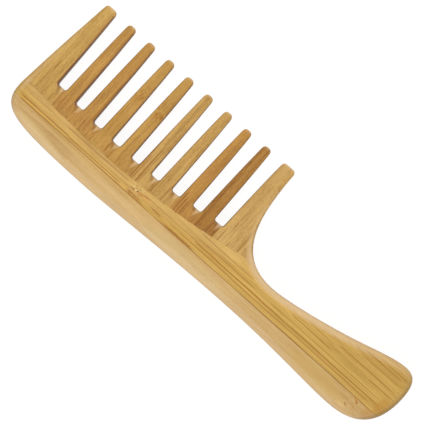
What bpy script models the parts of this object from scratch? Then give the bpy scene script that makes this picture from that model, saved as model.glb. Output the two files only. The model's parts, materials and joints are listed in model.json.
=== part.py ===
"""Wide tooth comb of laminated bamboo.

Two face plies, each of two edge-glued strips with the grain along the comb, cover a core of
upright staves whose grain runs along the teeth. The laminate is carved to one shape, so the
face plies run out in a feather edge and the bare core goes on as the teeth.
The comb lies on its rear face: +X to the handle's end, +Y to the tooth tips, +Z up.
Sizes are in millimetres until the last step, which makes metres of them.
"""

import math

import bmesh
import bpy
from mathutils import Vector
from mathutils.geometry import delaunay_2d_cdt

for old in list(bpy.data.objects):
    bpy.data.objects.remove(old, do_unlink=True)

MM = 0.001

# Overall sizes
LENGTH = 195.0
WIDTH = 59.6  # from the back edge to the tooth tips
THICKNESS = 10.0

# Laminate
CORE = 5.0  # thickness of the stave core between the two face plies
HANDLE_STAVES = 4  # core staves inside the handle, past the neck
GLUE_GAP = 0.3  # clearance kept between glued pieces
BACK_STRIP = 9.4  # width of the strip along the back edge, to its glue line

# Teeth and the slots between them
SLOTS = 9
PITCH = 10.21
FIRST_SLOT = 13.35  # middle of the first slot, from the toe end
ROOT_WIDTH = 5.95  # width of a narrow tooth at the lowest slot bottom
SHOULDER_WIDTH = 3.95  # width of a narrow tooth where its tip starts to round
TOE_TIP = 5.5  # width of the first tooth's tip
NECK_TIP = 6.4  # width of the last tooth's tip
TIP_CORNER = 1.5  # how far a tip's rounded corners reach in from its sides
TIP_ROUND = 1.8  # and down from its end
SLOT_FILLET = 1.0
SLOT_LOW = 20.6  # height of the lowest slot bottom over the back edge
SLOT_LOW_X = 50.0
SLOT_ARC = 280.0  # radius of the arc through the slot bottoms
ROOT_THICKNESS = 4.6
TIP_THICKNESS = 2.8

# Where the carving reaches the core
FEATHER_LOW = 14.2  # height of the feather edge over the back edge at its lowest
FEATHER_LOW_X = 42.0
FEATHER_ARC = 350.0
RAMP = 9.0  # from the flat face down to the feather edge
RAMP_FOOT = 2.5  # from the feather edge on to the plane of the teeth

# Back, neck and handle
TOE_HEIGHT = 13.5  # height at which the toe end stands furthest out
TOE_ROUND = 45.0  # run of the long round under the toe
BACK_HOLLOW = 2.15  # rise of the back edge under the waist
HOLLOW_TO_WAIST = 8.0
WAIST = 19.25  # height of the handle's top edge at its narrowest
NECK_RUN = 33.1  # from the middle of the last slot to the waist
HANDLE_PEAK = 31.2
GRIP_ALONG = 0.56  # where the top edge is steepest, as a share of the run from waist to peak
GRIP_UP = 0.48  # and of the rise
GRIP_STEEPNESS = 1.2  # its slope against the even slope from waist to peak
PEAK_TO_END = 6.7
HEEL_ROUND = 23.5
HEEL_HEIGHT = 21.0

# Rounding of the edges: its width, and the part of the half thickness that it takes
OUTER_ROUND = 3.0
OUTER_SHARE = 0.72
TOOTH_ROUND = 0.9
TOOTH_SHARE = 0.36

ARC_STEP = 3.5  # spacing of points on the long curves
TURN_POINTS = 4  # segments in a fillet or in half a tip
RIM_ROWS = 3
RAMP_ROWS = 4
RAMP_STEP = 4.5  # spacing along the ramp

# Wood colours, linear
BACK_COLOUR = (0.64, 0.42, 0.17)
GRAIN_COLOUR = (0.60, 0.37, 0.10)
STAVE_COLOURS = (
    (0.56, 0.33, 0.10),
    (0.50, 0.27, 0.07),
    (0.51, 0.28, 0.08),
    (0.52, 0.30, 0.09),
    (0.43, 0.21, 0.05),
    (0.58, 0.36, 0.12),
)
HANDLE_COLOUR = (0.52, 0.30, 0.09)
SATIN = 0.45  # roughness of the sanded wood

MIDDLE = THICKNESS / 2
LAST_SLOT = FIRST_SLOT + (SLOTS - 1) * PITCH
WAIST_X = LAST_SLOT + NECK_RUN
SHOULDER = WIDTH - TIP_ROUND


def feather_height(x):
    """Height over the back edge where the carved face leaves the face ply."""
    return FEATHER_LOW + (x - FEATHER_LOW_X) ** 2 / (2 * FEATHER_ARC)


def slot_bottom(x):
    return SLOT_LOW + (x - SLOT_LOW_X) ** 2 / (2 * SLOT_ARC)


def tooth_width(y):
    """Width of a narrow tooth, which tapers evenly and then a little faster near its shoulder."""
    t = (y - SLOT_LOW) / (SHOULDER - SLOT_LOW)
    return ROOT_WIDTH + (SHOULDER_WIDTH - ROOT_WIDTH) * (0.75 * t + 0.25 * t**4)


def half_thickness(x, y):
    """Half the comb's thickness away from its edges: flat face, ramp, then the wedge of the teeth."""
    from_feather = y - feather_height(x)
    if from_feather <= 0:
        t = min(-from_feather / RAMP, 1.0)
        return CORE / 2 + (THICKNESS - CORE) / 2 * (1 - (1 - t) ** 2)
    along = min(from_feather / (WIDTH - feather_height(x)), 1.0)
    wedge = (ROOT_THICKNESS + (TIP_THICKNESS - ROOT_THICKNESS) * along) / 2
    t = min(from_feather / RAMP_FOOT, 1.0)
    return wedge + (CORE - ROOT_THICKNESS) / 2 * (1 - t) ** 2


def curve(start, end, reach_out, reach_in):
    """Points of a smooth curve between two knots (x, y, heading), without its last point.

    The reaches are its handles' lengths as shares of the chord."""
    chord = math.dist(start[:2], end[:2])
    a, d = Vector(start[:2]), Vector(end[:2])
    b = a + reach_out * chord * Vector((math.cos(start[2]), math.sin(start[2])))
    c = d - reach_in * chord * Vector((math.cos(end[2]), math.sin(end[2])))
    count = max(6, round(chord / ARC_STEP))
    steps = [i / count for i in range(count)]
    return [a * (1 - t) ** 3 + b * 3 * t * (1 - t) ** 2 + c * 3 * t * t * (1 - t) + d * t**3 for t in steps]


def quarter(centre, radii, start_degrees, turn):
    """A quarter of an ellipse, turning left (turn 1) or right (turn -1)."""
    angles = [math.radians(start_degrees + turn * 90 * i / TURN_POINTS) for i in range(TURN_POINTS + 1)]
    return [Vector((centre[0] + radii[0] * math.cos(a), centre[1] + radii[1] * math.sin(a))) for a in angles]


def tip(right, left):
    """The blunt end of a tooth between its two shoulders, from right to left."""
    corner = (TIP_CORNER, TIP_ROUND)
    right_corner = quarter((right - TIP_CORNER, SHOULDER), corner, 0, 1)
    return right_corner + quarter((left + TIP_CORNER, SHOULDER), corner, 90, 1)


def slot(middle):
    """One slot, from the shoulder of the tooth on its right down, across and up again."""
    bottom = slot_bottom(middle)
    heights = [SHOULDER + (bottom + SLOT_FILLET - SHOULDER) * i / 5 for i in range(1, 5)]
    half = (PITCH - tooth_width(bottom)) / 2
    right_side = [Vector((middle + (PITCH - tooth_width(y)) / 2, y)) for y in heights]
    left_side = [Vector((middle - (PITCH - tooth_width(y)) / 2, y)) for y in reversed(heights)]
    inset = half - SLOT_FILLET
    fillets = quarter((middle + inset, bottom + SLOT_FILLET), (SLOT_FILLET, SLOT_FILLET), 0, -1)
    fillets += quarter((middle - inset, bottom + SLOT_FILLET), (SLOT_FILLET, SLOT_FILLET), 270, -1)
    return right_side + fillets + left_side


def outline():
    """The comb's plan, anticlockwise from the toe.

    Returns its points, and each one's share of the outer rounding: 1 on the outside, 0 on a tooth."""
    toe = (0.0, TOE_HEIGHT, math.radians(-90))
    low = (TOE_ROUND, 0.0, 0.0)
    hollow = (WAIST_X - HOLLOW_TO_WAIST, BACK_HOLLOW, 0.0)
    heel = (LENGTH - HEEL_ROUND, 0.2, 0.0)
    end = (LENGTH, HEEL_HEIGHT, math.radians(90))
    peak = (LENGTH - PEAK_TO_END, HANDLE_PEAK, math.radians(180))
    waist = (WAIST_X, WAIST, math.radians(180))
    run, rise = peak[0] - WAIST_X, HANDLE_PEAK - WAIST
    slope = GRIP_STEEPNESS * math.atan2(rise, run)
    grip = (WAIST_X + GRIP_ALONG * run, WAIST + GRIP_UP * rise, math.pi + slope)
    side = (PITCH - SHOULDER_WIDTH) / 2
    neck_tip = (LAST_SLOT + side + NECK_TIP, SHOULDER, math.radians(91))
    toe_tip = (FIRST_SLOT - side - TOE_TIP, SHOULDER, math.radians(-97))

    points = curve(toe, low, 0.256, 0.815) + curve(low, hollow, 0.209, 0.425)
    points += curve(hollow, heel, 0.487, 0.175) + curve(heel, end, 0.19, 0.70)
    points += curve(end, peak, 0.417, 0.48) + curve(peak, grip, 0.219, 0.412)
    points += curve(grip, waist, 0.377, 0.193)
    outer = [1.0] * len(points)
    neck = curve(waist, neck_tip, 0.41, 0.537)
    outer += [1 - (i / len(neck)) ** 3 for i in range(len(neck))]
    teeth = tip(neck_tip[0], LAST_SLOT + side)
    for i in reversed(range(SLOTS)):
        middle = FIRST_SLOT + i * PITCH
        last = middle - side
        teeth += slot(middle) + tip(last, toe_tip[0] if i == 0 else last - SHOULDER_WIDTH)
    toe_side = curve(toe_tip, toe, 0.376, 0.111)[1:]
    outer += [0.0] * len(teeth)
    outer += [1 - (1 - (i + 1) / (len(toe_side) + 1)) ** 2 for i in range(len(toe_side))]
    return points + neck + teeth + toe_side, outer


def inward(points):
    """The unit normal into the comb at each point of the outline."""
    normals = []
    for i, point in enumerate(points):
        before = (point - points[i - 1]).normalized()
        after = (points[(i + 1) % len(points)] - point).normalized()
        along = (before + after).normalized()
        normals.append(Vector((-along.y, along.x)) / max(0.7, along.dot(after)))
    return normals


def rim_rows(points, outer):
    """Rows of (x, y, height over the middle plane) from the side wall up over the rounded edge."""
    normals = inward(points)
    rows = []
    for row in range(RIM_ROWS + 1):
        angle = math.radians(90 * row / RIM_ROWS)
        ring = []
        for point, normal, share in zip(points, normals, outer):
            width = TOOTH_ROUND + (OUTER_ROUND - TOOTH_ROUND) * share
            depth = TOOTH_SHARE + (OUTER_SHARE - TOOTH_SHARE) * share
            place = point + normal * width * (1 - math.cos(angle))
            height = half_thickness(*place) * (1 - depth * (1 - math.sin(angle)))
            ring.append((place.x, place.y, height))
        rows.append(ring)
    return rows


def ramp_points():
    """Points inside the outline where the face bends: along the ramp and its foot."""
    places = []
    across = [-RAMP * (1 - row / RAMP_ROWS) for row in range(RAMP_ROWS + 1)] + [RAMP_FOOT]
    columns = round(WAIST_X / RAMP_STEP)
    for column in range(1, columns + 1):
        x = WAIST_X * column / columns
        places += [Vector((x, feather_height(x) + step)) for step in across]
    return places


def inside(place, ring, margin):
    """Whether a place lies inside a ring of points, at least margin away from it."""
    crossings = 0
    for i, end in enumerate(ring):
        start = ring[i - 1]
        if (start[1] > place.y) != (end[1] > place.y):
            reach = start[0] + (place.y - start[1]) * (end[0] - start[0]) / (end[1] - start[1])
            crossings += reach > place.x
    return crossings % 2 == 1 and all(math.dist(place, point[:2]) > margin for point in ring)


def carved_blank():
    """The whole comb as one closed mesh, before it is parted into its pieces."""
    rows = rim_rows(*outline())
    count = len(rows[0])
    ring = rows[-1]
    places = [Vector(p[:2]) for p in ring] + [p for p in ramp_points() if inside(p, ring, 1.0)]
    flat, _, triangles, _, _, _ = delaunay_2d_cdt(places, [], [list(range(count))], 1, 1e-5)
    heights = [p[2] for p in ring] + [half_thickness(*p) for p in places[count:]]

    bm = bmesh.new()
    for side in (1, -1):
        layers = [[bm.verts.new((x, y, MIDDLE + side * z)) for x, y, z in row] for row in rows[:-1]]
        field = [bm.verts.new((p.x, p.y, MIDDLE + side * z)) for p, z in zip(flat, heights)]
        layers.append(field[:count])
        for lower, upper in zip(layers, layers[1:]):
            for i in range(count):
                corners = (lower[i - 1], lower[i], upper[i], upper[i - 1])
                bm.faces.new(corners if side > 0 else corners[::-1])
        for triangle in triangles:
            corners = [field[i] for i in triangle]
            bm.faces.new(corners if side > 0 else corners[::-1])
        if side > 0:
            top_wall = layers[0]
    for i in range(count):
        bm.faces.new((layers[0][i - 1], layers[0][i], top_wall[i], top_wall[i - 1]))
    bmesh.ops.triangulate(bm, faces=bm.faces[:])
    return bm


def keep(bm, axis, low=None, high=None):
    """Trims a closed mesh to the slab between two planes across an axis, and closes the cuts."""
    for limit, way in ((low, -1), (high, 1)):
        if limit is None:
            continue
        plane, normal = Vector(), Vector()
        plane[axis] = limit
        normal[axis] = way
        geometry = bm.verts[:] + bm.edges[:] + bm.faces[:]
        bmesh.ops.bisect_plane(
            bm, geom=geometry, dist=1e-5, plane_co=plane, plane_no=normal, clear_outer=True
        )
        rims = [edge for edge in bm.edges if edge.is_boundary]
        bmesh.ops.holes_fill(bm, edges=rims)
    bmesh.ops.triangulate(bm, faces=[face for face in bm.faces if len(face.verts) > 3])


def material(name, colour):
    """Sanded wood with a satin finish."""
    made = bpy.data.materials.new(name)
    made.use_nodes = True
    shader = made.node_tree.nodes["Principled BSDF"]
    shader.inputs["Base Color"].default_value = (*colour, 1.0)
    shader.inputs["Roughness"].default_value = SATIN
    shader.inputs["Metallic"].default_value = 0.0
    return made


def piece(name, blank, limits, colour):
    """One piece of the laminate: the carved blank trimmed to its own block of wood."""
    bm = blank.copy()
    for axis, (low, high) in enumerate(limits):
        keep(bm, axis, low, high)
    to_centre = Vector((-LENGTH / 2, -WIDTH / 2, 0.0))
    bmesh.ops.translate(bm, vec=to_centre, verts=bm.verts[:])
    bmesh.ops.scale(bm, vec=(MM, MM, MM), verts=bm.verts[:])
    bmesh.ops.recalc_face_normals(bm, faces=bm.faces[:])
    mesh = bpy.data.meshes.new(name)
    bm.to_mesh(mesh)
    bm.free()
    mesh.shade_smooth()
    mesh.set_sharp_from_angle(angle=math.radians(40))
    mesh.materials.append(material(name, colour))
    made = bpy.data.objects.new(name, mesh)
    bpy.context.collection.objects.link(made)
    return made


def face_strips(blank):
    """The two face plies, each a back strip and a grained strip on the tooth side of its glue line."""
    half = GLUE_GAP / 2
    plies = {
        "front": (MIDDLE + CORE / 2 + half, None),
        "rear": (None, MIDDLE - CORE / 2 - half),
    }
    below = (None, BACK_STRIP - half)
    above = (BACK_STRIP + half, None)
    for face, span in plies.items():
        piece(f"{face}_back_strip", blank, ((None, None), below, span), BACK_COLOUR)
        piece(f"{face}_grain_strip", blank, ((None, None), above, span), GRAIN_COLOUR)


def core_staves(blank):
    """The upright staves of the core: those that carry the teeth, then those inside the handle.

    A tooth stave is two pitches wide, and its seam runs up beside a slot's right wall, clear of
    the teeth. The handle's staves share the rest of the length evenly."""
    half = GLUE_GAP / 2
    first_seam = FIRST_SLOT + (PITCH - ROOT_WIDTH) / 2 - SLOT_FILLET / 2
    tooth_staves = (SLOTS + 3) // 2
    seams = [first_seam + 2 * PITCH * i for i in range(tooth_staves)]
    handle_width = (LENGTH - seams[-1]) / HANDLE_STAVES
    seams += [seams[-1] + handle_width * i for i in range(1, HANDLE_STAVES)]

    span = (MIDDLE - CORE / 2 + half, MIDDLE + CORE / 2 - half)
    lows = [None] + [x + half for x in seams]
    highs = [x - half for x in seams] + [None]
    for i, limits in enumerate(zip(lows, highs)):
        if i < tooth_staves:
            name, colour = f"tooth_stave_{i + 1}", STAVE_COLOURS[i % len(STAVE_COLOURS)]
        else:
            name, colour = f"handle_stave_{i - tooth_staves + 1}", HANDLE_COLOUR
        piece(name, blank, (limits, (None, None), span), colour)


blank = carved_blank()
face_strips(blank)
core_staves(blank)
blank.free()
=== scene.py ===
"""Wide tooth comb of laminated bamboo: the finished wood of every strip and stave.

The comb is carved as one board and then parted along its glue lines, so neighbouring pieces
meet flush. Sizes are in millimetres, x from the toe end, y from the back edge and z from the
rear face, until a finished piece is put where the frame says.
"""

import json
import math

import bmesh
import bpy
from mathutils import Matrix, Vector
from mathutils.geometry import delaunay_2d_cdt


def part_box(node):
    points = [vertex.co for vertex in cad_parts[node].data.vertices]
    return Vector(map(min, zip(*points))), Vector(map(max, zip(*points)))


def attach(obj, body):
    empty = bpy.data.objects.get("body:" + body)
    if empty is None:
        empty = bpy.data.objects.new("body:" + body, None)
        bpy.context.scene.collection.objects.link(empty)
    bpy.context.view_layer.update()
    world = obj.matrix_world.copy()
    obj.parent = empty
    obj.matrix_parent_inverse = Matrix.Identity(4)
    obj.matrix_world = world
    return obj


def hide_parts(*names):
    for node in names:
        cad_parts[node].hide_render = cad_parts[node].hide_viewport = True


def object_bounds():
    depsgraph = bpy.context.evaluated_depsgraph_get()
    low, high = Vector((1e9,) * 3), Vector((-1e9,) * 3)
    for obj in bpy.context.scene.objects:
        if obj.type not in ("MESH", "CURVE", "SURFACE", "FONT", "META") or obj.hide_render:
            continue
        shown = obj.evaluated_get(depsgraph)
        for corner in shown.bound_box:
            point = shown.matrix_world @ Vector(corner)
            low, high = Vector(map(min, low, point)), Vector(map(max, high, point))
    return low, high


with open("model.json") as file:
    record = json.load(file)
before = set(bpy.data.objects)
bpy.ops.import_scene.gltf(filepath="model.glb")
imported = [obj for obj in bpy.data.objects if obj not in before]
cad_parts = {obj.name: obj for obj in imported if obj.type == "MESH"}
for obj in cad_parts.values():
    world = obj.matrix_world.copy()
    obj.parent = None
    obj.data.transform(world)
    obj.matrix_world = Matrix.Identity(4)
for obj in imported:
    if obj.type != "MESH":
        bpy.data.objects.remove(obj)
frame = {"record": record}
cad_low, cad_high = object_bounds()

MM = 0.001
COLLECTION = bpy.context.scene.collection


# ---- Sizes read from the frame

def between(one, other, axis):
    """The middle of the clearance between two neighbouring pieces along an axis, in millimetres."""
    gap = (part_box(one)[1][axis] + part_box(other)[0][axis]) / 2
    return (gap - cad_low[axis]) / MM


LENGTH, WIDTH, THICKNESS = (cad_high - cad_low) / MM
MIDDLE = THICKNESS / 2
GLUE_LINE = between("front_back_strip", "front_grain_strip", 1)
CORE = 2 * (between("handle_stave_1", "front_grain_strip", 2) - MIDDLE)

STAVES = [f"tooth_stave_{i}" for i in range(1, 7)] + [f"handle_stave_{i}" for i in range(1, 5)]
SEAMS = [between(one, other, 0) for one, other in zip(STAVES, STAVES[1:])]

SLOT_BOXES = [opening["box_m"] for opening in frame["record"]["physics"]["openings"]]
SLOT_MIDDLES = [((low[0] + high[0]) / 2 - cad_low.x) / MM for low, high in SLOT_BOXES]
SLOTS = len(SLOT_MIDDLES)
FIRST_SLOT, LAST_SLOT = SLOT_MIDDLES[0], SLOT_MIDDLES[-1]
PITCH = (LAST_SLOT - FIRST_SLOT) / (SLOTS - 1)

# ---- Shape of the carving

ROOT_WIDTH = 5.95
SHOULDER_WIDTH = 3.95
TOE_TIP = 5.5
NECK_TIP = 6.4
TIP_CORNER = 1.5
TIP_ROUND = 1.8
SLOT_FILLET = 1.0
SLOT_LOW, SLOT_LOW_X, SLOT_ARC = 20.6, 50.0, 280.0
ROOT_THICKNESS = 4.6
TIP_THICKNESS = 2.8
FEATHER_LOW, FEATHER_LOW_X, FEATHER_ARC = 14.2, 42.0, 350.0
RAMP = 9.0
RAMP_FOOT = 2.5
RUNOUT_LENGTH = 4.4  # the shallow groove that the cutter leaves below each slot
RUNOUT_DEPTH = 0.6

TOE_HEIGHT = 13.5
TOE_ROUND = 45.0
BACK_HOLLOW = 2.15
HOLLOW_TO_WAIST = 8.0
WAIST = 19.25
NECK_RUN = 33.1
HANDLE_PEAK = 31.2
GRIP_ALONG, GRIP_UP, GRIP_STEEPNESS = 0.56, 0.48, 1.2
PEAK_TO_END = 6.7
HEEL_ROUND = 23.5
HEEL_HEIGHT = 21.0

OUTER_ROUND, OUTER_SHARE = 3.2, 0.72
TOOTH_ROUND, TOOTH_SHARE = 0.9, 0.36
TIP_OUTER = 0.15  # a tooth's tip is rounded more than its sides, by this much of the outer rounding
ROUND_TO = math.radians(76)  # the rounding stops short of flat, so it meets the face at a soft crest

CURVE_STEP = 0.6
TURN_POINTS = 12
RIM_ROWS = 9
FIELD_STEP = 0.65
GLUE_GAP = 0.03

WAIST_X = LAST_SLOT + NECK_RUN
SHOULDER = WIDTH - TIP_ROUND
SLOT_SIDE = (PITCH - SHOULDER_WIDTH) / 2


def slot_bottom(x):
    return SLOT_LOW + (x - SLOT_LOW_X) ** 2 / (2 * SLOT_ARC)


def tooth_width(y):
    """Width of a narrow tooth, which tapers evenly and then a little faster near its shoulder."""
    t = (y - SLOT_LOW) / (SHOULDER - SLOT_LOW)
    return ROOT_WIDTH + (SHOULDER_WIDTH - ROOT_WIDTH) * (0.75 * t + 0.25 * t**4)


# ---- Plan of the comb

def curve(start, end, reach_out, reach_in):
    """A smooth curve between two knots (x, y, heading), without its last point."""
    chord = math.dist(start[:2], end[:2])
    a, d = Vector(start[:2]), Vector(end[:2])
    b = a + reach_out * chord * Vector((math.cos(start[2]), math.sin(start[2])))
    c = d - reach_in * chord * Vector((math.cos(end[2]), math.sin(end[2])))
    count = round(chord / CURVE_STEP)
    steps = [i / count for i in range(count)]
    return [a * (1 - t) ** 3 + b * 3 * t * (1 - t) ** 2 + c * 3 * t * t * (1 - t) + d * t**3 for t in steps]


def quarter(centre, radii, start_degrees, turn):
    """A quarter of an ellipse, turning left (turn 1) or right (turn -1)."""
    angles = [math.radians(start_degrees + turn * 90 * i / TURN_POINTS) for i in range(TURN_POINTS + 1)]
    return [Vector((centre[0] + radii[0] * math.cos(a), centre[1] + radii[1] * math.sin(a))) for a in angles]


def tip(right, left):
    """The blunt end of a tooth between its two shoulders, from right to left."""
    corner = (TIP_CORNER, TIP_ROUND)
    points = quarter((right - TIP_CORNER, SHOULDER), corner, 0, 1)
    other = quarter((left + TIP_CORNER, SHOULDER), corner, 90, 1)
    across = round((points[-1].x - other[0].x) / CURVE_STEP)
    return points + [points[-1].lerp(other[0], i / across) for i in range(1, across)] + other


def slot(middle):
    """One slot, from the shoulder of the tooth on its right down, across and up again."""
    bottom = slot_bottom(middle)
    count = round((SHOULDER - bottom) / CURVE_STEP)
    heights = [SHOULDER + (bottom + SLOT_FILLET - SHOULDER) * i / count for i in range(1, count)]
    right_side = [Vector((middle + (PITCH - tooth_width(y)) / 2, y)) for y in heights]
    left_side = [Vector((middle - (PITCH - tooth_width(y)) / 2, y)) for y in reversed(heights)]
    inset = (PITCH - tooth_width(bottom)) / 2 - SLOT_FILLET
    right_fillet = quarter((middle + inset, bottom + SLOT_FILLET), (SLOT_FILLET,) * 2, 0, -1)
    left_fillet = quarter((middle - inset, bottom + SLOT_FILLET), (SLOT_FILLET,) * 2, 270, -1)
    across = round(2 * inset / CURVE_STEP)
    floor = [right_fillet[-1].lerp(left_fillet[0], i / across) for i in range(1, across)]
    return right_side + right_fillet + floor + left_fillet + left_side


def outline():
    """The comb's plan, anticlockwise from the toe.

    Returns its points, each one's share of the outer rounding, and whether a slot's cutter made it."""
    toe = (0.0, TOE_HEIGHT, math.radians(-90))
    low = (TOE_ROUND, 0.0, 0.0)
    hollow = (WAIST_X - HOLLOW_TO_WAIST, BACK_HOLLOW, 0.0)
    heel = (LENGTH - HEEL_ROUND, 0.2, 0.0)
    end = (LENGTH, HEEL_HEIGHT, math.radians(90))
    peak = (LENGTH - PEAK_TO_END, HANDLE_PEAK, math.radians(180))
    waist = (WAIST_X, WAIST, math.radians(180))
    run, rise = peak[0] - WAIST_X, HANDLE_PEAK - WAIST
    slope = GRIP_STEEPNESS * math.atan2(rise, run)
    grip = (WAIST_X + GRIP_ALONG * run, WAIST + GRIP_UP * rise, math.pi + slope)
    neck_tip = (LAST_SLOT + SLOT_SIDE + NECK_TIP, SHOULDER, math.radians(91))
    toe_tip = (FIRST_SLOT - SLOT_SIDE - TOE_TIP, SHOULDER, math.radians(-97))

    points = curve(toe, low, 0.256, 0.815) + curve(low, hollow, 0.209, 0.425)
    points += curve(hollow, heel, 0.487, 0.175) + curve(heel, end, 0.19, 0.70)
    points += curve(end, peak, 0.417, 0.48) + curve(peak, grip, 0.219, 0.412)
    points += curve(grip, waist, 0.377, 0.193)
    outer = [1.0] * len(points)
    sawn = [0.0] * len(points)

    def add(more, shares, cut=0.0):
        points.extend(more)
        outer.extend(shares)
        sawn.extend([cut] * len(more))

    def add_tip(right, left):
        made = tip(right, left)
        add(made, [TIP_OUTER * math.sin(math.pi * i / (len(made) - 1)) for i in range(len(made))])

    neck = curve(waist, neck_tip, 0.41, 0.537)
    add(neck, [1 - (i / len(neck)) ** 3 for i in range(len(neck))])
    add_tip(neck_tip[0], LAST_SLOT + SLOT_SIDE)
    for middle in reversed(SLOT_MIDDLES):
        sides = slot(middle)
        add(sides, [0.0] * len(sides), 1.0)
        last = middle - SLOT_SIDE
        add_tip(last, toe_tip[0] if middle == FIRST_SLOT else last - SHOULDER_WIDTH)
    toe_side = curve(toe_tip, toe, 0.376, 0.111)[1:]
    add(toe_side, [1 - (1 - (i + 1) / (len(toe_side) + 1)) ** 2 for i in range(len(toe_side))])
    return points, outer, sawn


def inward(points):
    """The unit normal into the comb at each point of the outline."""
    normals = []
    for i, point in enumerate(points):
        before = (point - points[i - 1]).normalized()
        after = (points[(i + 1) % len(points)] - point).normalized()
        along = (before + after).normalized()
        normals.append(Vector((-along.y, along.x)))
    return normals


def cell(place):
    return round(place.x / FIELD_STEP), round(place.y / FIELD_STEP)


def field_points(ring, creases):
    """A field of points that fills the ring, clear of its edge and of the creases."""
    crossings = {}
    rows = int(WIDTH / FIELD_STEP) + 1
    for start, end in zip(ring, ring[1:] + ring[:1]):
        low, high = sorted((start, end), key=lambda p: p.y)
        for row in range(math.ceil(low.y / FIELD_STEP), math.ceil(high.y / FIELD_STEP)):
            reach = (row * FIELD_STEP - low.y) / (high.y - low.y)
            crossings.setdefault(row, []).append(low.x + reach * (high.x - low.x))
    places = []
    for row in range(rows):
        spans = sorted(crossings.get(row, []))
        for left, right in zip(spans[::2], spans[1::2]):
            count = int((right - left) / FIELD_STEP) + 1
            places += [Vector((left + (right - left) * i / count, row * FIELD_STEP)) for i in range(1, count)]
    taken = {cell(p) for p in ring + creases}
    return [p for p in places if cell(p) not in taken]


def runout_creases(start):
    """Points along the three creases of each run-out, and the edges that join them, numbered from start."""
    points, edges = [], []
    half = (PITCH - ROOT_WIDTH) / 2
    for middle in SLOT_MIDDLES:
        top = slot_bottom(middle)
        for side in (-1, 0, 1):
            for i in range(9):
                drop = 0.25 + 0.75 * i / 8 if side == 0 else 0.27 + 0.65 * i / 8
                points.append(Vector((middle + side * half * (1 - drop), top - RUNOUT_LENGTH * drop)))
                if i > 0:
                    edges.append((start + len(points) - 2, start + len(points) - 1))
    return points, edges


# ---- Carving by Geometry Nodes

class Flow:
    """A number that flows through a node tree, so that a formula reads as one."""

    def __init__(self, tree, socket):
        self.tree, self.socket = tree, socket

    def math(self, operation, *others):
        node = self.tree.nodes.new("ShaderNodeMath")
        node.operation = operation
        for slot_index, operand in enumerate((self, *others)):
            if isinstance(operand, Flow):
                self.tree.links.new(operand.socket, node.inputs[slot_index])
            else:
                node.inputs[slot_index].default_value = operand
        return Flow(self.tree, node.outputs[0])

    def __add__(self, other):
        return self.math("ADD", other)

    def __sub__(self, other):
        return self.math("SUBTRACT", other)

    def __mul__(self, other):
        return self.math("MULTIPLY", other)

    def __truediv__(self, other):
        return self.math("DIVIDE", other)

    def __pow__(self, other):
        return self.math("POWER", other)

    def __neg__(self):
        return self.math("MULTIPLY", -1.0)

    def rest(self):
        """One minus this."""
        return -self + 1.0

    def within(self, low=0.0, high=1.0):
        return self.math("MAXIMUM", low).math("MINIMUM", high)

    def ease(self, start, end):
        """Rises smoothly from 0 at start to 1 at end, or falls if start is the larger."""
        node = self.tree.nodes.new("ShaderNodeMapRange")
        node.interpolation_type = "SMOOTHSTEP"
        node.inputs["From Min"].default_value = start
        node.inputs["From Max"].default_value = end
        self.tree.links.new(self.socket, node.inputs["Value"])
        return Flow(self.tree, node.outputs["Result"])

    def size(self):
        return self.math("ABSOLUTE")

    def square(self):
        return self * self


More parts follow.
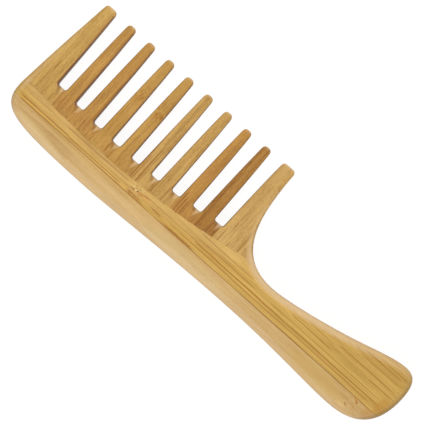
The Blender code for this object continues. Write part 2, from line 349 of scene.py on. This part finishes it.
def carving_tree():
    """Lifts a flat sheet to the carved faces: flat, ramp, wedge of the teeth, rounded edges, run-outs.

    The sheet's points carry which face they are on, how far they are up the rounded edge, and how
    much of the thickness that edge takes."""
    tree = bpy.data.node_groups.new("comb_carving", "GeometryNodeTree")
    face = tree.interface
    face.new_socket("Sheet", in_out="INPUT", socket_type="NodeSocketGeometry")
    face.new_socket("Carved", in_out="OUTPUT", socket_type="NodeSocketGeometry")
    sizes = {
        "Middle": MIDDLE,
        "Core half": CORE / 2,
        "Width": WIDTH,
        "Root half": ROOT_THICKNESS / 2,
        "Tip half": TIP_THICKNESS / 2,
        "Feather low": FEATHER_LOW,
        "Feather low x": FEATHER_LOW_X,
        "Feather arc": FEATHER_ARC,
        "Ramp": RAMP,
        "Ramp foot": RAMP_FOOT,
        "First slot": FIRST_SLOT,
        "Pitch": PITCH,
        "Slots": float(SLOTS),
        "Slot low": SLOT_LOW,
        "Slot low x": SLOT_LOW_X,
        "Slot arc": SLOT_ARC,
        "Slot half": (PITCH - ROOT_WIDTH) / 2,
        "Run-out length": RUNOUT_LENGTH,
        "Run-out depth": RUNOUT_DEPTH,
    }
    for name in sizes:
        face.new_socket(name, in_out="INPUT", socket_type="NodeSocketFloat")
    face.new_socket("Wood", in_out="INPUT", socket_type="NodeSocketMaterial")

    nodes, links = tree.nodes, tree.links
    given = nodes.new("NodeGroupInput")
    size = {name: Flow(tree, given.outputs[name]) for name in sizes}
    axes = nodes.new("ShaderNodeSeparateXYZ")
    links.new(nodes.new("GeometryNodeInputPosition").outputs[0], axes.inputs[0])
    x, y = Flow(tree, axes.outputs[0]), Flow(tree, axes.outputs[1])
    marks = {}
    for name in ("side", "rise", "depth"):
        read = nodes.new("GeometryNodeInputNamedAttribute")
        read.inputs["Name"].default_value = name
        marks[name] = Flow(tree, read.outputs["Attribute"])

    feather = (x - size["Feather low x"]).square() / (size["Feather arc"] * 2.0) + size["Feather low"]
    above = y - feather
    up_ramp = (-above / size["Ramp"]).within()
    ply = (size["Middle"] - size["Core half"]) * (up_ramp.rest().square()).rest()
    along = (above / (size["Width"] - feather)).within()
    wedge = size["Root half"] + (size["Tip half"] - size["Root half"]) * along
    foot = (size["Core half"] - size["Root half"]) * (above / size["Ramp foot"]).within().rest().square()
    on_teeth = above.math("GREATER_THAN", 0.0)
    half = (size["Core half"] + ply) * on_teeth.rest() + (wedge + foot) * on_teeth

    number = ((x - size["First slot"]) / size["Pitch"]).math("ROUND")
    number = number.math("MAXIMUM", 0.0).math("MINIMUM", size["Slots"] - 1.0)
    middle = size["First slot"] + number * size["Pitch"]
    bottom = (middle - size["Slot low x"]).square() / (size["Slot arc"] * 2.0) + size["Slot low"]
    below = ((bottom - y) / size["Run-out length"]).math("MAXIMUM", 0.0)
    aside = (x - middle).math("ABSOLUTE") / size["Slot half"]
    runout = (below.rest() - aside).math("MAXIMUM", 0.0)

    edge = (marks["depth"] * marks["rise"].rest()).rest()
    height = (half - runout * size["Run-out depth"]) * edge * marks["side"] + size["Middle"]
    place = nodes.new("ShaderNodeCombineXYZ")
    links.new(x.socket, place.inputs[0])
    links.new(y.socket, place.inputs[1])
    links.new(height.socket, place.inputs[2])
    lift = nodes.new("GeometryNodeSetPosition")
    links.new(given.outputs["Sheet"], lift.inputs["Geometry"])
    links.new(place.outputs[0], lift.inputs["Position"])
    mark = nodes.new("GeometryNodeStoreNamedAttribute")
    mark.inputs["Name"].default_value = "runout"
    links.new(lift.outputs[0], mark.inputs["Geometry"])
    links.new((runout * 4.0).within().socket, mark.inputs["Value"])
    wood = nodes.new("GeometryNodeSetMaterial")
    links.new(mark.outputs[0], wood.inputs["Geometry"])
    links.new(given.outputs["Wood"], wood.inputs["Material"])
    links.new(wood.outputs[0], nodes.new("NodeGroupOutput").inputs[0])
    return tree, sizes


def flat_board():
    """The comb's plan as two flat sheets joined by a side wall, with the marks that the carving reads."""
    points, outer, sawn = outline()
    normals = inward(points)
    count = len(points)
    rings = []
    widths = [TOOTH_ROUND + (OUTER_ROUND - TOOTH_ROUND) * share for share in outer]
    for row in range(RIM_ROWS + 1):
        reach = (1 - math.cos(ROUND_TO * row / RIM_ROWS)) / (1 - math.cos(ROUND_TO))
        rings.append([p + n * w * reach for p, n, w in zip(points, normals, widths)])
    ring = rings[-1]
    creases, crease_edges = runout_creases(count)
    places = ring + creases + field_points(ring, creases)
    flat, _, triangles, _, _, _ = delaunay_2d_cdt(places, crease_edges, [list(range(count))], 1, 1e-6)

    bm = bmesh.new()
    names = ("side", "rise", "depth", "slot_wall", "worn")
    layers = [bm.verts.layers.float.new(name) for name in names]

    def vertex(place, *marks):
        made = bm.verts.new((place.x, place.y, 0.0))
        for layer, value in zip(layers, marks):
            made[layer] = value
        return made

    depths = [TOOTH_SHARE + (OUTER_SHARE - TOOTH_SHARE) * share for share in outer]
    walls = {}
    for side in (1, -1):
        rows = []
        for row, places in enumerate(rings[:-1]):
            rise = math.sin(ROUND_TO * row / RIM_ROWS) / math.sin(ROUND_TO)
            fade = 1 - (row / RIM_ROWS) ** 4
            crest = min(1.0, 2.5 * (1 - row / RIM_ROWS))
            each = zip(places, depths, sawn, outer)
            rows.append([vertex(p, side, rise, d, c * fade, o * crest) for p, d, c, o in each])
        field = [vertex(p, side, 1.0, 0.0, 0.0, 0.0) for p in flat]
        rows.append(field[:count])
        for lower, upper in zip(rows, rows[1:]):
            for i in range(count):
                corners = (lower[i - 1], lower[i], upper[i], upper[i - 1])
                bm.faces.new(corners if side > 0 else corners[::-1])
        for triangle in triangles:
            corners = [field[i] for i in triangle]
            bm.faces.new(corners if side > 0 else corners[::-1])
        walls[side] = rows[0]
    for i in range(count):
        bm.faces.new((walls[-1][i - 1], walls[-1][i], walls[1][i], walls[1][i - 1]))
    mesh = bpy.data.meshes.new("board")
    bm.to_mesh(mesh)
    bm.free()
    board = bpy.data.objects.new("board", mesh)
    COLLECTION.objects.link(board)
    return board


def carved_board(wood):
    """The whole comb as one closed mesh, carved by the node tree."""
    board = flat_board()
    tree, sizes = carving_tree()
    carve = board.modifiers.new("carving", "NODES")
    carve.node_group = tree
    sockets = {item.name: item.identifier for item in tree.interface.items_tree if item.in_out == "INPUT"}
    for name, value in sizes.items():
        carve[sockets[name]] = value
    carve[sockets["Wood"]] = wood
    graph = bpy.context.evaluated_depsgraph_get()
    mesh = bpy.data.meshes.new_from_object(board.evaluated_get(graph))
    bpy.data.objects.remove(board)
    bm = bmesh.new()
    bm.from_mesh(mesh)
    bpy.data.meshes.remove(mesh)
    return bm


# ---- Parting the board into its pieces

def keep(bm, axis, low=None, high=None):
    """Trims a closed mesh to the slab between two planes across an axis, and closes the cuts."""
    for limit, way in ((low, -1), (high, 1)):
        if limit is None:
            continue
        plane, normal = Vector(), Vector()
        plane[axis] = limit
        normal[axis] = way
        geometry = bm.verts[:] + bm.edges[:] + bm.faces[:]
        bmesh.ops.bisect_plane(
            bm, geom=geometry, dist=1e-5, plane_co=plane, plane_no=normal, clear_outer=True
        )
        rims = [edge for edge in bm.edges if edge.is_boundary]
        bmesh.ops.holes_fill(bm, edges=rims)
    bmesh.ops.triangulate(bm, faces=[face for face in bm.faces if len(face.verts) > 3])


def part_off(node, board, limits, wood):
    """One finished piece: the carved board trimmed to its own block of wood, put where the frame says."""
    bm = board.copy()
    for axis, (low, high) in enumerate(limits):
        keep(bm, axis, low, high)
    bmesh.ops.scale(bm, vec=(MM, MM, MM), verts=bm.verts[:])
    bmesh.ops.translate(bm, vec=cad_low, verts=bm.verts[:])
    bmesh.ops.recalc_face_normals(bm, faces=bm.faces[:])
    mesh = bpy.data.meshes.new(f"{node}_wood")
    bm.to_mesh(mesh)
    bm.free()
    mesh.shade_smooth()
    mesh.set_sharp_from_angle(angle=math.radians(50))
    mesh.materials.clear()
    mesh.materials.append(wood)
    piece = bpy.data.objects.new(f"{node}_wood", mesh)
    COLLECTION.objects.link(piece)
    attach(piece, "root")
    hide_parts(node)
    return piece


# ---- Bamboo

# Colours on a piece, as shares of its own colour
# The dark fibre share is also laid as painted shade on the run-outs
PALE_FIBRE, DARK_FIBRE_AND_SHADE = (1.22, 1.26, 1.45), (0.62, 0.50, 0.30)
LINE, STAIN, BRIGHT = (0.64, 0.43, 0.20), (0.84, 0.66, 0.46), (1.15, 1.19, 1.25)
RAMP_LIGHT = (1.22, 1.18, 1.04)  # painted light: paler where the ramp's slope faces the tip side
EDGE_SHADE = (0.58, 0.52, 0.50)  # painted shade on steep sides and on the rims at the ends
# Colours that every piece shares
BARE_FIBRE_AND_SHEEN = (0.60, 0.42, 0.235)  # bare fibre on the rounded edges and cut ends, with painted sheen on the rim and painted light on one slope of each run-out
GLUE = (0.20, 0.09, 0.02)
SAW_BROWN_AND_SHADE = (0.16, 0.058, 0.020)  # slot walls, in part browned by the saw, in part painted shade
PIT = (0.10, 0.05, 0.012)


def toned(colour, change):
    return tuple(c * k for c, k in zip(colour, change))


class Bamboo:
    """A bamboo finish under construction: places in millimetres along and across the grain, and a colour."""

    def __init__(self, name, grain, colour, seed):
        self.material = bpy.data.materials.new(name)
        self.material.use_nodes = True
        self.tree = self.material.node_tree
        self.own, self.seed = colour, seed
        self.shader = self.tree.nodes["Principled BSDF"]
        place = self.parts(self.node("ShaderNodeTexCoord").outputs["Object"])
        self.x, self.y, self.z = ((place[i] - cad_low[i]) * (1 / MM) for i in range(3))
        self.normal = self.parts(self.node("ShaderNodeNewGeometry").outputs["Normal"])
        self.flatness = self.normal[2].size()
        self.along, self.across = (self.x, self.y) if grain == "x" else (self.y, self.x)
        self.end_on = self.normal[0 if grain == "x" else 1].size()
        self.last = None

    def node(self, kind):
        return self.tree.nodes.new(kind)

    def parts(self, vector):
        split = self.node("ShaderNodeSeparateXYZ")
        self.tree.links.new(vector, split.inputs[0])
        return [Flow(self.tree, split.outputs[i]) for i in range(3)]

    def mark(self, name):
        """A number stored on the mesh by the carving."""
        read = self.node("ShaderNodeAttribute")
        read.attribute_name = name
        return Flow(self.tree, read.outputs["Fac"])

    def grain(self, length, width, shift, detail=2.0):
        """Noise drawn out along the grain, with streaks about this long and this wide."""
        place = self.node("ShaderNodeCombineXYZ")
        for axis, flow in enumerate((self.along / length, self.across / width, self.z / (1.4 * width))):
            self.tree.links.new((flow + (self.seed * 7.3 + shift * 3.1)).socket, place.inputs[axis])
        noise = self.node("ShaderNodeTexNoise")
        noise.inputs["Scale"].default_value = 1.0
        noise.inputs["Detail"].default_value = detail
        self.tree.links.new(place.outputs[0], noise.inputs["Vector"])
        return Flow(self.tree, noise.outputs[0])

    def lay(self, over, amount):
        """Lays a colour over the finish, as far as amount says."""
        mix = self.node("ShaderNodeMix")
        mix.data_type = "RGBA"
        under, top = [socket for socket in mix.inputs if socket.type == "RGBA"]
        self.tree.links.new(amount.within().socket, mix.inputs["Factor"])
        if self.last is None:
            under.default_value = (*toned(self.own, PALE_FIBRE), 1.0)
        else:
            self.tree.links.new(self.last, under)
        top.default_value = (*over, 1.0)
        self.last = next(socket for socket in mix.outputs if socket.type == "RGBA")

    def tint(self, change, amount):
        self.lay(toned(self.own, change), amount)

    def fibre_lines(self, lines):
        """Dark lines along the grain, wavering and broken here and there."""
        wavering = self.across + (self.grain(25.0, 4.0, 6.0) - 0.5) * 0.5
        drawn = None
        for across, start, end, strength in lines:
            span = self.along.ease(start, start + 3.0) * self.along.ease(end, end - 3.0)
            line = (wavering - across).size().ease(0.38, 0.08) * span * strength
            drawn = drawn.math("MAXIMUM", line) if drawn else line
        if drawn:
            self.tint(LINE, drawn * self.grain(9.0, 0.9, 9.0).ease(0.20, 0.42))

    def spot(self, x, y, length, width, tilt):
        """1 within a ragged oval that lies at tilt degrees to the comb's length, fading to 0 outside."""
        turn = math.radians(tilt)
        off_x, off_y = self.ragged_x - x, self.ragged_y - y
        lengthwise = (off_x * math.cos(turn) + off_y * math.sin(turn)) / length
        sideways = (off_y * math.cos(turn) - off_x * math.sin(turn)) / width
        return (lengthwise.square() + sideways.square()).ease(1.3, 0.35)


def knuckle(wood, place):
    """Swirls the fibres in a short band, as at a node of the cane, and returns how near each point is to it."""
    off = wood.along - place + (wood.grain(60.0, 1.7, 11.0) - 0.5) * 6.0
    band = off.size().ease(3.6, 0.8)
    wood.across = wood.across + band * (wood.grain(2.4, 1.6, 12.0) - 0.5) * 2.8
    return band


def bamboo(name, grain, colour, seed, fibre, dashes, mottle, node=None, drift=None, lines=(), spots=()):
    """A strip or stave of bamboo, with as much fibre contrast, short dashes and mottling as the numbers say.

    node is the place of a cane's node along the grain and its strength. drift is a middle across the grain
    and the darkening per mm from it. Each of lines is (across, start, end, strength). Each of spots is
    (x, y, length, width, tilt, colour or share of the piece's colour, strength)."""
    wood = Bamboo(name, grain, colour, seed)
    band = knuckle(wood, node[0]) * node[1] if node else None
    fibres = wood.grain(20.0, 0.45, 1.0, detail=3.0) - 0.5
    streaks = wood.grain(55.0, 1.5, 7.0) - 0.5
    patches = wood.grain(24.0, 5.0, 2.0) - 0.5
    ticks = wood.grain(4.5, 0.40, 5.0, detail=1.0).ease(0.58, 0.72)
    flecks = wood.grain(1.3, 0.55, 21.0, detail=3.0) - 0.5
    depth = fibres * (1.6 * fibre) + streaks * (1.3 * fibre) + patches * (1.3 * mottle) + ticks * (0.5 * dashes)
    depth = depth + flecks * (0.3 if grain == "x" else 0.75) + 0.34
    if drift:
        depth = depth + (wood.across - drift[0]) * drift[1]
    if grain == "x":
        depth = depth + ((wood.x - 92.0) / 90.0).square() * 0.15
    if grain == "x":
        # Painted light on the ramp's slope that faces the tip side, kept off the rounded rim
        wood.tint(RAMP_LIGHT, wood.normal[1].ease(0.03, 0.25) * wood.mark("worn").rest())
    wood.tint(DARK_FIBRE_AND_SHADE, depth)
    if band:
        wood.tint(BRIGHT, band * wood.grain(1.6, 0.9, 13.0).ease(0.42, 0.60) * 0.8)
        wood.tint(STAIN, band * wood.grain(1.9, 0.8, 14.0).ease(0.50, 0.66) * 0.8)
    wood.fibre_lines(lines)
    if grain == "x":
        seam = (wood.y - GLUE_LINE).size().ease(0.30, 0.05) * wood.grain(30.0, 3.0, 17.0).ease(0.36, 0.60)
        wood.lay(GLUE, seam * (wood.x.ease(112.0, 130.0) * 0.35 + 0.25))
    if spots:
        ragged = (wood.grain(1.2, 0.9, 15.0) - 0.5) * 0.8
        wood.ragged_x, wood.ragged_y = wood.x + ragged, wood.y + ragged
    for *oval, change, strength in spots:
        amount = wood.spot(*oval) * strength
        if change is PIT:
            wood.lay(PIT, amount)
        else:
            wood.tint(change, amount)
    return finish(wood, fibres, ticks)


def finish(wood, fibres, ticks):
    """What every piece shares: rounded edges of bare fibre with painted sheen, painted shade on steep sides and ends,
    end grain, saw browning and painted shade on the slot walls, painted light and shade on the run-outs, glue lines,
    satin sheen and fine relief.
    """
    sawn, worn, runout = wood.mark("slot_wall"), wood.mark("worn"), wood.mark("runout")
    steep = wood.flatness.ease(0.80, 0.25)
    across_x = wood.normal[0]
    along_edge = wood.normal[0].size().ease(0.55, 0.30)
    # Rounded rim paler: in part bare fibre where sanding wore through, in part painted sheen, strongest on the top
    # edge facing the tip side
    on_top = wood.normal[1].ease(-0.1, 0.3) * wood.x.ease(186.0, 150.0)
    wood.lay(BARE_FIBRE_AND_SHEEN, worn * along_edge * (on_top * 0.45 + 0.25))
    wood.lay(BARE_FIBRE_AND_SHEEN, wood.end_on.ease(0.25, 0.7) * worn.rest() * 0.35)
    wood.lay(GLUE, wood.end_on.ease(0.55, 0.9) * wood.grain(1e3, 0.5, 8.0, 0.0).ease(0.52, 0.66) * 0.45)
    # Painted light on the run-out slope that faces the toe end, painted shade on the slope that faces the heel end
    wood.lay(BARE_FIBRE_AND_SHEEN, runout * across_x.ease(0.02, -0.15) * 0.5)
    wood.tint(DARK_FIBRE_AND_SHADE, runout * across_x.ease(-0.02, 0.15) * 0.65)
    # Painted shade: steep sides darker, least along the outer rounded rim
    wood.tint(EDGE_SHADE, steep * (worn * along_edge * -0.45 + 0.65))
    # Painted shade on the rims at both ends, most at the heel end, which faces away from the light
    heel = across_x.ease(-0.3, 0.3) * wood.y.ease(34.0, 12.0)
    wood.tint(EDGE_SHADE, worn * along_edge.rest() * (heel * 0.45 + 0.10))
    # Painted shade on the slot walls that face the heel end, deepest towards the toe and the slot bottoms
    shade = (wood.x.ease(62.0, 6.0) * 0.75 + 0.12) * (wood.y.ease(52.0, 28.0) * 0.35 + 0.65)
    wood.lay(SAW_BROWN_AND_SHADE, sawn * across_x.ease(0.05, 0.35) * shade)
    # Steep sawn faces darker, less on the slot floors: in part browning by the saw, in part painted shade in the
    # slots
    bottom = wood.normal[1].ease(0.2, 0.55)
    wood.lay(SAW_BROWN_AND_SHADE, sawn * wood.flatness.ease(0.90, 0.55) * (bottom * -0.75 + 1.0))
    for plane in (MIDDLE - CORE / 2, MIDDLE + CORE / 2):
        wood.lay(GLUE, (wood.z - plane).size().ease(0.16, 0.04) * steep * 0.7)

    links, shader = wood.tree.links, wood.shader
    links.new(wood.last, shader.inputs["Base Color"])
    links.new((fibres * 0.25 + ticks * 0.12 + 0.44).within(0.3, 0.7).socket, shader.inputs["Roughness"])
    shader.inputs["Specular IOR Level"].default_value = 0.32
    relief = wood.node("ShaderNodeBump")
    relief.inputs["Strength"].default_value = 0.35
    relief.inputs["Distance"].default_value = 0.04 * MM
    links.new((fibres - ticks * 0.6).socket, relief.inputs["Height"])
    links.new(relief.outputs[0], shader.inputs["Normal"])
    return wood.material


def back_strip_wood(face):
    """Pale and even, with faint streaks; on the front, a cane's node near the handle's end."""
    name, colour, glue = f"{face}_back_bamboo", (0.473, 0.313, 0.118), (GLUE_LINE, 3.0, LENGTH - 3.0, 0.8)
    if face == "rear":
        return bamboo(name, "x", colour, 2.0, 0.4, 0.15, 0.5, node=(52.0, 0.8), lines=[glue])
    spots = [
        (181.2, 8.7, 1.7, 0.7, -42.0, STAIN, 0.9),
        (181.9, 8.0, 0.7, 0.45, -30.0, LINE, 0.8),
        (176.6, 6.9, 1.9, 0.3, -6.0, STAIN, 0.7),
        (178.2, 6.5, 0.9, 0.3, -50.0, STAIN, 0.8),
        (178.9, 4.6, 1.1, 0.32, -32.0, LINE, 0.8),
        (181.7, 5.9, 1.0, 0.3, -25.0, STAIN, 0.7),
        (182.6, 4.9, 1.0, 0.3, 25.0, STAIN, 0.5),
        (177.3, 3.4, 2.2, 0.8, 5.0, BRIGHT, 0.8),
        (177.5, 2.2, 3.4, 0.3, 3.0, STAIN, 0.6),
        (189.0, 7.5, 4.0, 3.5, 50.0, STAIN, 0.6),
        (95.0, 4.5, 24.0, 3.2, 0.0, (1.08, 1.18, 1.42), 0.45),
        (20.0, 2.8, 15.0, 2.2, -7.0, (1.14, 1.24, 1.45), 0.5),
        (162.0, 5.0, 16.0, 4.5, 0.0, (0.94, 0.91, 0.66), 0.5),
    ]
    return bamboo(name, "x", colour, 1.0, 0.4, 0.1, 0.5, node=(180.0, 0.35), lines=[glue], spots=spots)


def grain_strip_wood(face):
    """Yellow, with long dark fibre lines; on the front, a cane's node below the sixth tooth."""
    name, colour = f"{face}_grain_bamboo", (0.466, 0.291, 0.066)
    if face == "rear":
        lines = [
            (GLUE_LINE, 3.0, 192.0, 1.0),
            (10.9, 20.0, 150.0, 0.9),
            (12.4, 5.0, 190.0, 0.8),
            (14.3, 90.0, 192.0, 0.9),
            (16.6, 120.0, 180.0, 0.7),
            (19.6, 150.0, 191.0, 0.9),
            (23.0, 165.0, 191.0, 0.7),
        ]
        return bamboo(name, "x", colour, 4.0, 0.6, 0.2, 0.4, node=(121.0, 0.9), lines=lines)
    lines = [
        (9.35, 3.0, 58.0, 1.0),
        (9.7, 58.0, 69.0, 0.9),
        (9.35, 77.0, 98.0, 0.8),
        (9.3, 97.0, 125.0, 0.4),
        (9.25, 121.0, 186.0, 1.0),
        (10.7, 2.5, 30.0, 1.0),
        (10.35, 27.0, 57.0, 0.9),
        (10.45, 58.0, 68.0, 0.9),
        (11.3, 69.5, 78.0, 0.7),
        (11.45, 80.0, 130.0, 0.8),
        (11.3, 126.0, 186.0, 0.7),
        (13.1, 4.0, 30.0, 0.35),
        (13.1, 24.0, 59.0, 0.8),
        (13.3, 65.0, 96.0, 0.6),
        (12.9, 92.0, 128.0, 1.0),
        (12.7, 124.0, 191.0, 0.9),
        (14.8, 96.0, 124.0, 0.6),
        (14.7, 130.0, 190.0, 0.55),
        (17.0, 92.0, 121.0, 0.7),
        (16.8, 139.0, 162.0, 0.7),
        (17.85, 156.0, 181.0, 0.35),
        (17.85, 178.0, 192.0, 0.9),
        (19.0, 148.0, 162.0, 0.5),
        (20.4, 161.0, 192.0, 0.75),
        (23.6, 170.0, 191.0, 0.5),
        (25.9, 170.0, 191.0, 0.7),
    ]
    spots = [
        (67.0, 12.4, 4.5, 0.7, 3.0, (1.10, 0.90, 0.55), 0.8),
        (64.6, 12.4, 1.5, 0.8, 10.0, (0.88, 0.62, 0.35), 0.9),
        (62.6, 10.5, 1.6, 0.35, 0.0, STAIN, 0.8),
        (60.6, 12.2, 1.3, 0.35, 8.0, LINE, 0.7),
        (62.3, 12.35, 0.5, 0.35, 20.0, (1.45, 1.7, 2.4), 0.8),
        (60.8, 13.2, 0.8, 0.3, 10.0, (1.3, 1.45, 1.8), 0.7),
        (64.2, 14.1, 1.2, 0.35, 10.0, (1.2, 1.3, 1.6), 0.6),
        (63.1, 12.5, 0.6, 0.3, 30.0, PIT, 0.9),
        (63.5, 13.6, 0.5, 0.28, 40.0, PIT, 0.8),
        (61.3, 11.9, 0.4, 0.2, 10.0, PIT, 0.6),
        (190.5, 12.5, 2.6, 5.0, 0.0, STAIN, 0.6),
        (86.5, 9.8, 8.5, 0.45, 0.0, LINE, 0.9),
        (62.0, 10.4, 2.4, 0.3, 0.0, LINE, 0.7),
        (66.8, 12.9, 2.2, 0.35, 8.0, LINE, 0.6),
        (74.0, 11.1, 2.6, 0.35, -3.0, LINE, 0.8),
    ]
    return bamboo(
        name, "x", colour, 3.0, 0.6, 0.15, 0.4, node=(62.0, 1.0), lines=lines, spots=spots
    )


def stave_wood(node, name, number):
    """The staves differ as strips from different canes do."""
    colour = {
        "toe": (0.406, 0.238, 0.055),
        "second": (0.366, 0.190, 0.038),
        "third": (0.376, 0.203, 0.041),
        "fourth": (0.412, 0.242, 0.061),
        "fifth": (0.350, 0.173, 0.032),
        "neck": (0.422, 0.253, 0.069),
        "handle": (0.400, 0.230, 0.060),
    }[name]
    lines = {
        "toe": [(6.2, 25.0, 32.0, 0.8), (12.4, 15.0, 19.5, 0.8)],
        "second": [(17.2, 14.0, 24.0, 0.6), (30.6, 15.0, 40.0, 0.5)],
        "third": [(42.3, 14.0, 21.0, 0.8), (48.6, 14.0, 30.0, 0.5)],
        "fourth": [
            (56.7, 13.0, 34.0, 1.0),
            (57.6, 13.0, 28.0, 0.7),
            (59.4, 13.0, 32.0, 1.0),
            (66.6, 13.0, 25.0, 0.8),
            (71.7, 13.0, 24.0, 0.7),
        ],
        "fifth": [(78.1, 13.0, 27.0, 0.9), (79.3, 13.0, 25.0, 0.9), (80.5, 13.0, 24.0, 0.8), (88.6, 15.0, 24.0, 0.8)],
        "neck": [(99.0, 15.0, 26.0, 0.6), (103.2, 15.0, 23.0, 0.8), (108.0, 18.0, 30.0, 0.6)],
        "handle": [],
    }[name]
    spots = {
        "second": [(27.8, 50.0, 3.2, 11.0, 0.0, (0.84, 0.76, 0.62), 0.3)],
        "neck": [(98.5, 54.0, 4.0, 7.0, 0.0, (1.18, 1.28, 1.55), 0.3)],
        "third": [
            (38.4, 53.0, 3.2, 7.5, 0.0, (1.20, 1.30, 1.50), 0.3),
            (48.7, 53.0, 3.2, 7.5, 0.0, (1.24, 1.36, 1.65), 0.35),
            (38.4, 27.0, 3.2, 8.0, 0.0, (0.82, 0.74, 0.62), 0.3),
            (39.3, 40.6, 1.4, 1.5, 0.0, STAIN, 0.45),
            (38.8, 42.0, 0.9, 0.28, 80.0, LINE, 0.5),
            (40.3, 41.6, 0.8, 0.28, 75.0, LINE, 0.6),
            (37.3, 40.4, 0.7, 0.25, 70.0, LINE, 0.4),
            (38.3, 38.2, 0.6, 0.30, 80.0, LINE, 0.4),
            (49.2, 40.0, 2.0, 1.6, 0.0, STAIN, 0.5),
            (48.2, 39.8, 0.9, 0.30, 85.0, LINE, 0.55),
            (50.7, 40.2, 1.2, 0.45, 95.0, LINE, 0.6),
            (49.0, 41.2, 0.6, 0.25, 85.0, LINE, 0.45),
            (50.0, 37.8, 0.5, 0.25, 80.0, LINE, 0.4),
        ],
    }.get(name, [])
    cane = {"third": (40.5, 0.9), "neck": (50.0, 0.3)}.get(name)
    drift = {"fifth": (83.0, 0.035)}.get(name)
    return bamboo(f"{node}_bamboo", "y", colour, 5.0 + number, 0.7, 0.7, 0.7, cane, drift, lines, spots)


def part_board(board):
    half = GLUE_GAP / 2
    top, under = MIDDLE + CORE / 2, MIDDLE - CORE / 2
    everywhere = (None, None)
    below, above = (None, GLUE_LINE - half), (GLUE_LINE + half, None)
    for face, span in (("front", (top + half, None)), ("rear", (None, under - half))):
        part_off(f"{face}_back_strip", board, (everywhere, below, span), back_strip_wood(face))
        part_off(f"{face}_grain_strip", board, (everywhere, above, span), grain_strip_wood(face))
    span = (under + half, top - half)
    lows = [None] + [x + half for x in SEAMS]
    highs = [x - half for x in SEAMS] + [None]
    names = ["toe", "second", "third", "fourth", "fifth", "neck"] + ["handle"] * 4
    for number, (node, name, low, high) in enumerate(zip(STAVES, names, lows, highs)):
        wood = stave_wood(node, name, number)
        part_off(node, board, ((low, high), everywhere, span), wood)


# ---- Camera, floor and light

VIEW_X, VIEW_Y = 91.8, 25.8  # where the camera's axis meets the comb
VIEW_TURN = math.radians(41.81)
VIEW_DISTANCE = 450.0
VIEW_SPAN = 169.93  # what the frame takes in at the comb's middle plane
SENSOR = 36.0


def camera():
    data = bpy.data.cameras.new("camera")
    data.sensor_width = SENSOR
    data.lens = SENSOR * VIEW_DISTANCE / VIEW_SPAN
    made = bpy.data.objects.new("camera", data)
    made.location = cad_low + Vector((VIEW_X, VIEW_Y, MIDDLE + VIEW_DISTANCE)) * MM
    made.rotation_euler = (0.0, 0.0, VIEW_TURN)
    COLLECTION.objects.link(made)
    bpy.context.scene.camera = made


def studio():
    mesh = bpy.data.meshes.new("floor")
    reach = 3.0
    drop = cad_low.z - 0.00002
    corners = [(-reach, -reach, drop), (reach, -reach, drop), (reach, reach, drop), (-reach, reach, drop)]
    mesh.from_pydata(corners, [], [(0, 1, 2, 3)])
    floor = bpy.data.objects.new("floor", mesh)
    COLLECTION.objects.link(floor)
    paper = bpy.data.materials.new("white_paper")
    paper.use_nodes = True
    shader = paper.node_tree.nodes["Principled BSDF"]
    shader.inputs["Base Color"].default_value = (0.1, 0.1, 0.1, 1.0)
    shader.inputs["Roughness"].default_value = 0.9
    shader.inputs["Emission Color"].default_value = (1.0, 1.0, 1.0, 1.0)
    shader.inputs["Emission Strength"].default_value = 0.9
    mesh.materials.append(paper)

    world = bpy.data.worlds.new("studio")
    world.use_nodes = True
    world.node_tree.nodes["Background"].inputs[0].default_value = (1.0, 1.0, 1.0, 1.0)
    world.node_tree.nodes["Background"].inputs[1].default_value = 0.5
    bpy.context.scene.world = world
    for name, place, size, power in (
        ("tip_softbox", (-0.08, 0.80, 0.62), 0.8, 8.3),
        ("back_softbox", (-0.08, -0.80, 0.62), 0.8, 8.3),
    ):
        data = bpy.data.lights.new(name, "AREA")
        data.size = size
        data.energy = power
        lamp = bpy.data.objects.new(name, data)
        lamp.location = place
        lamp.rotation_euler = (-Vector(place)).to_track_quat("-Z", "Y").to_euler()
        COLLECTION.objects.link(lamp)


camera()
studio()
board = carved_board(back_strip_wood("front"))
part_board(board)
board.free()
bpy.context.scene.view_settings.view_transform = "Standard"
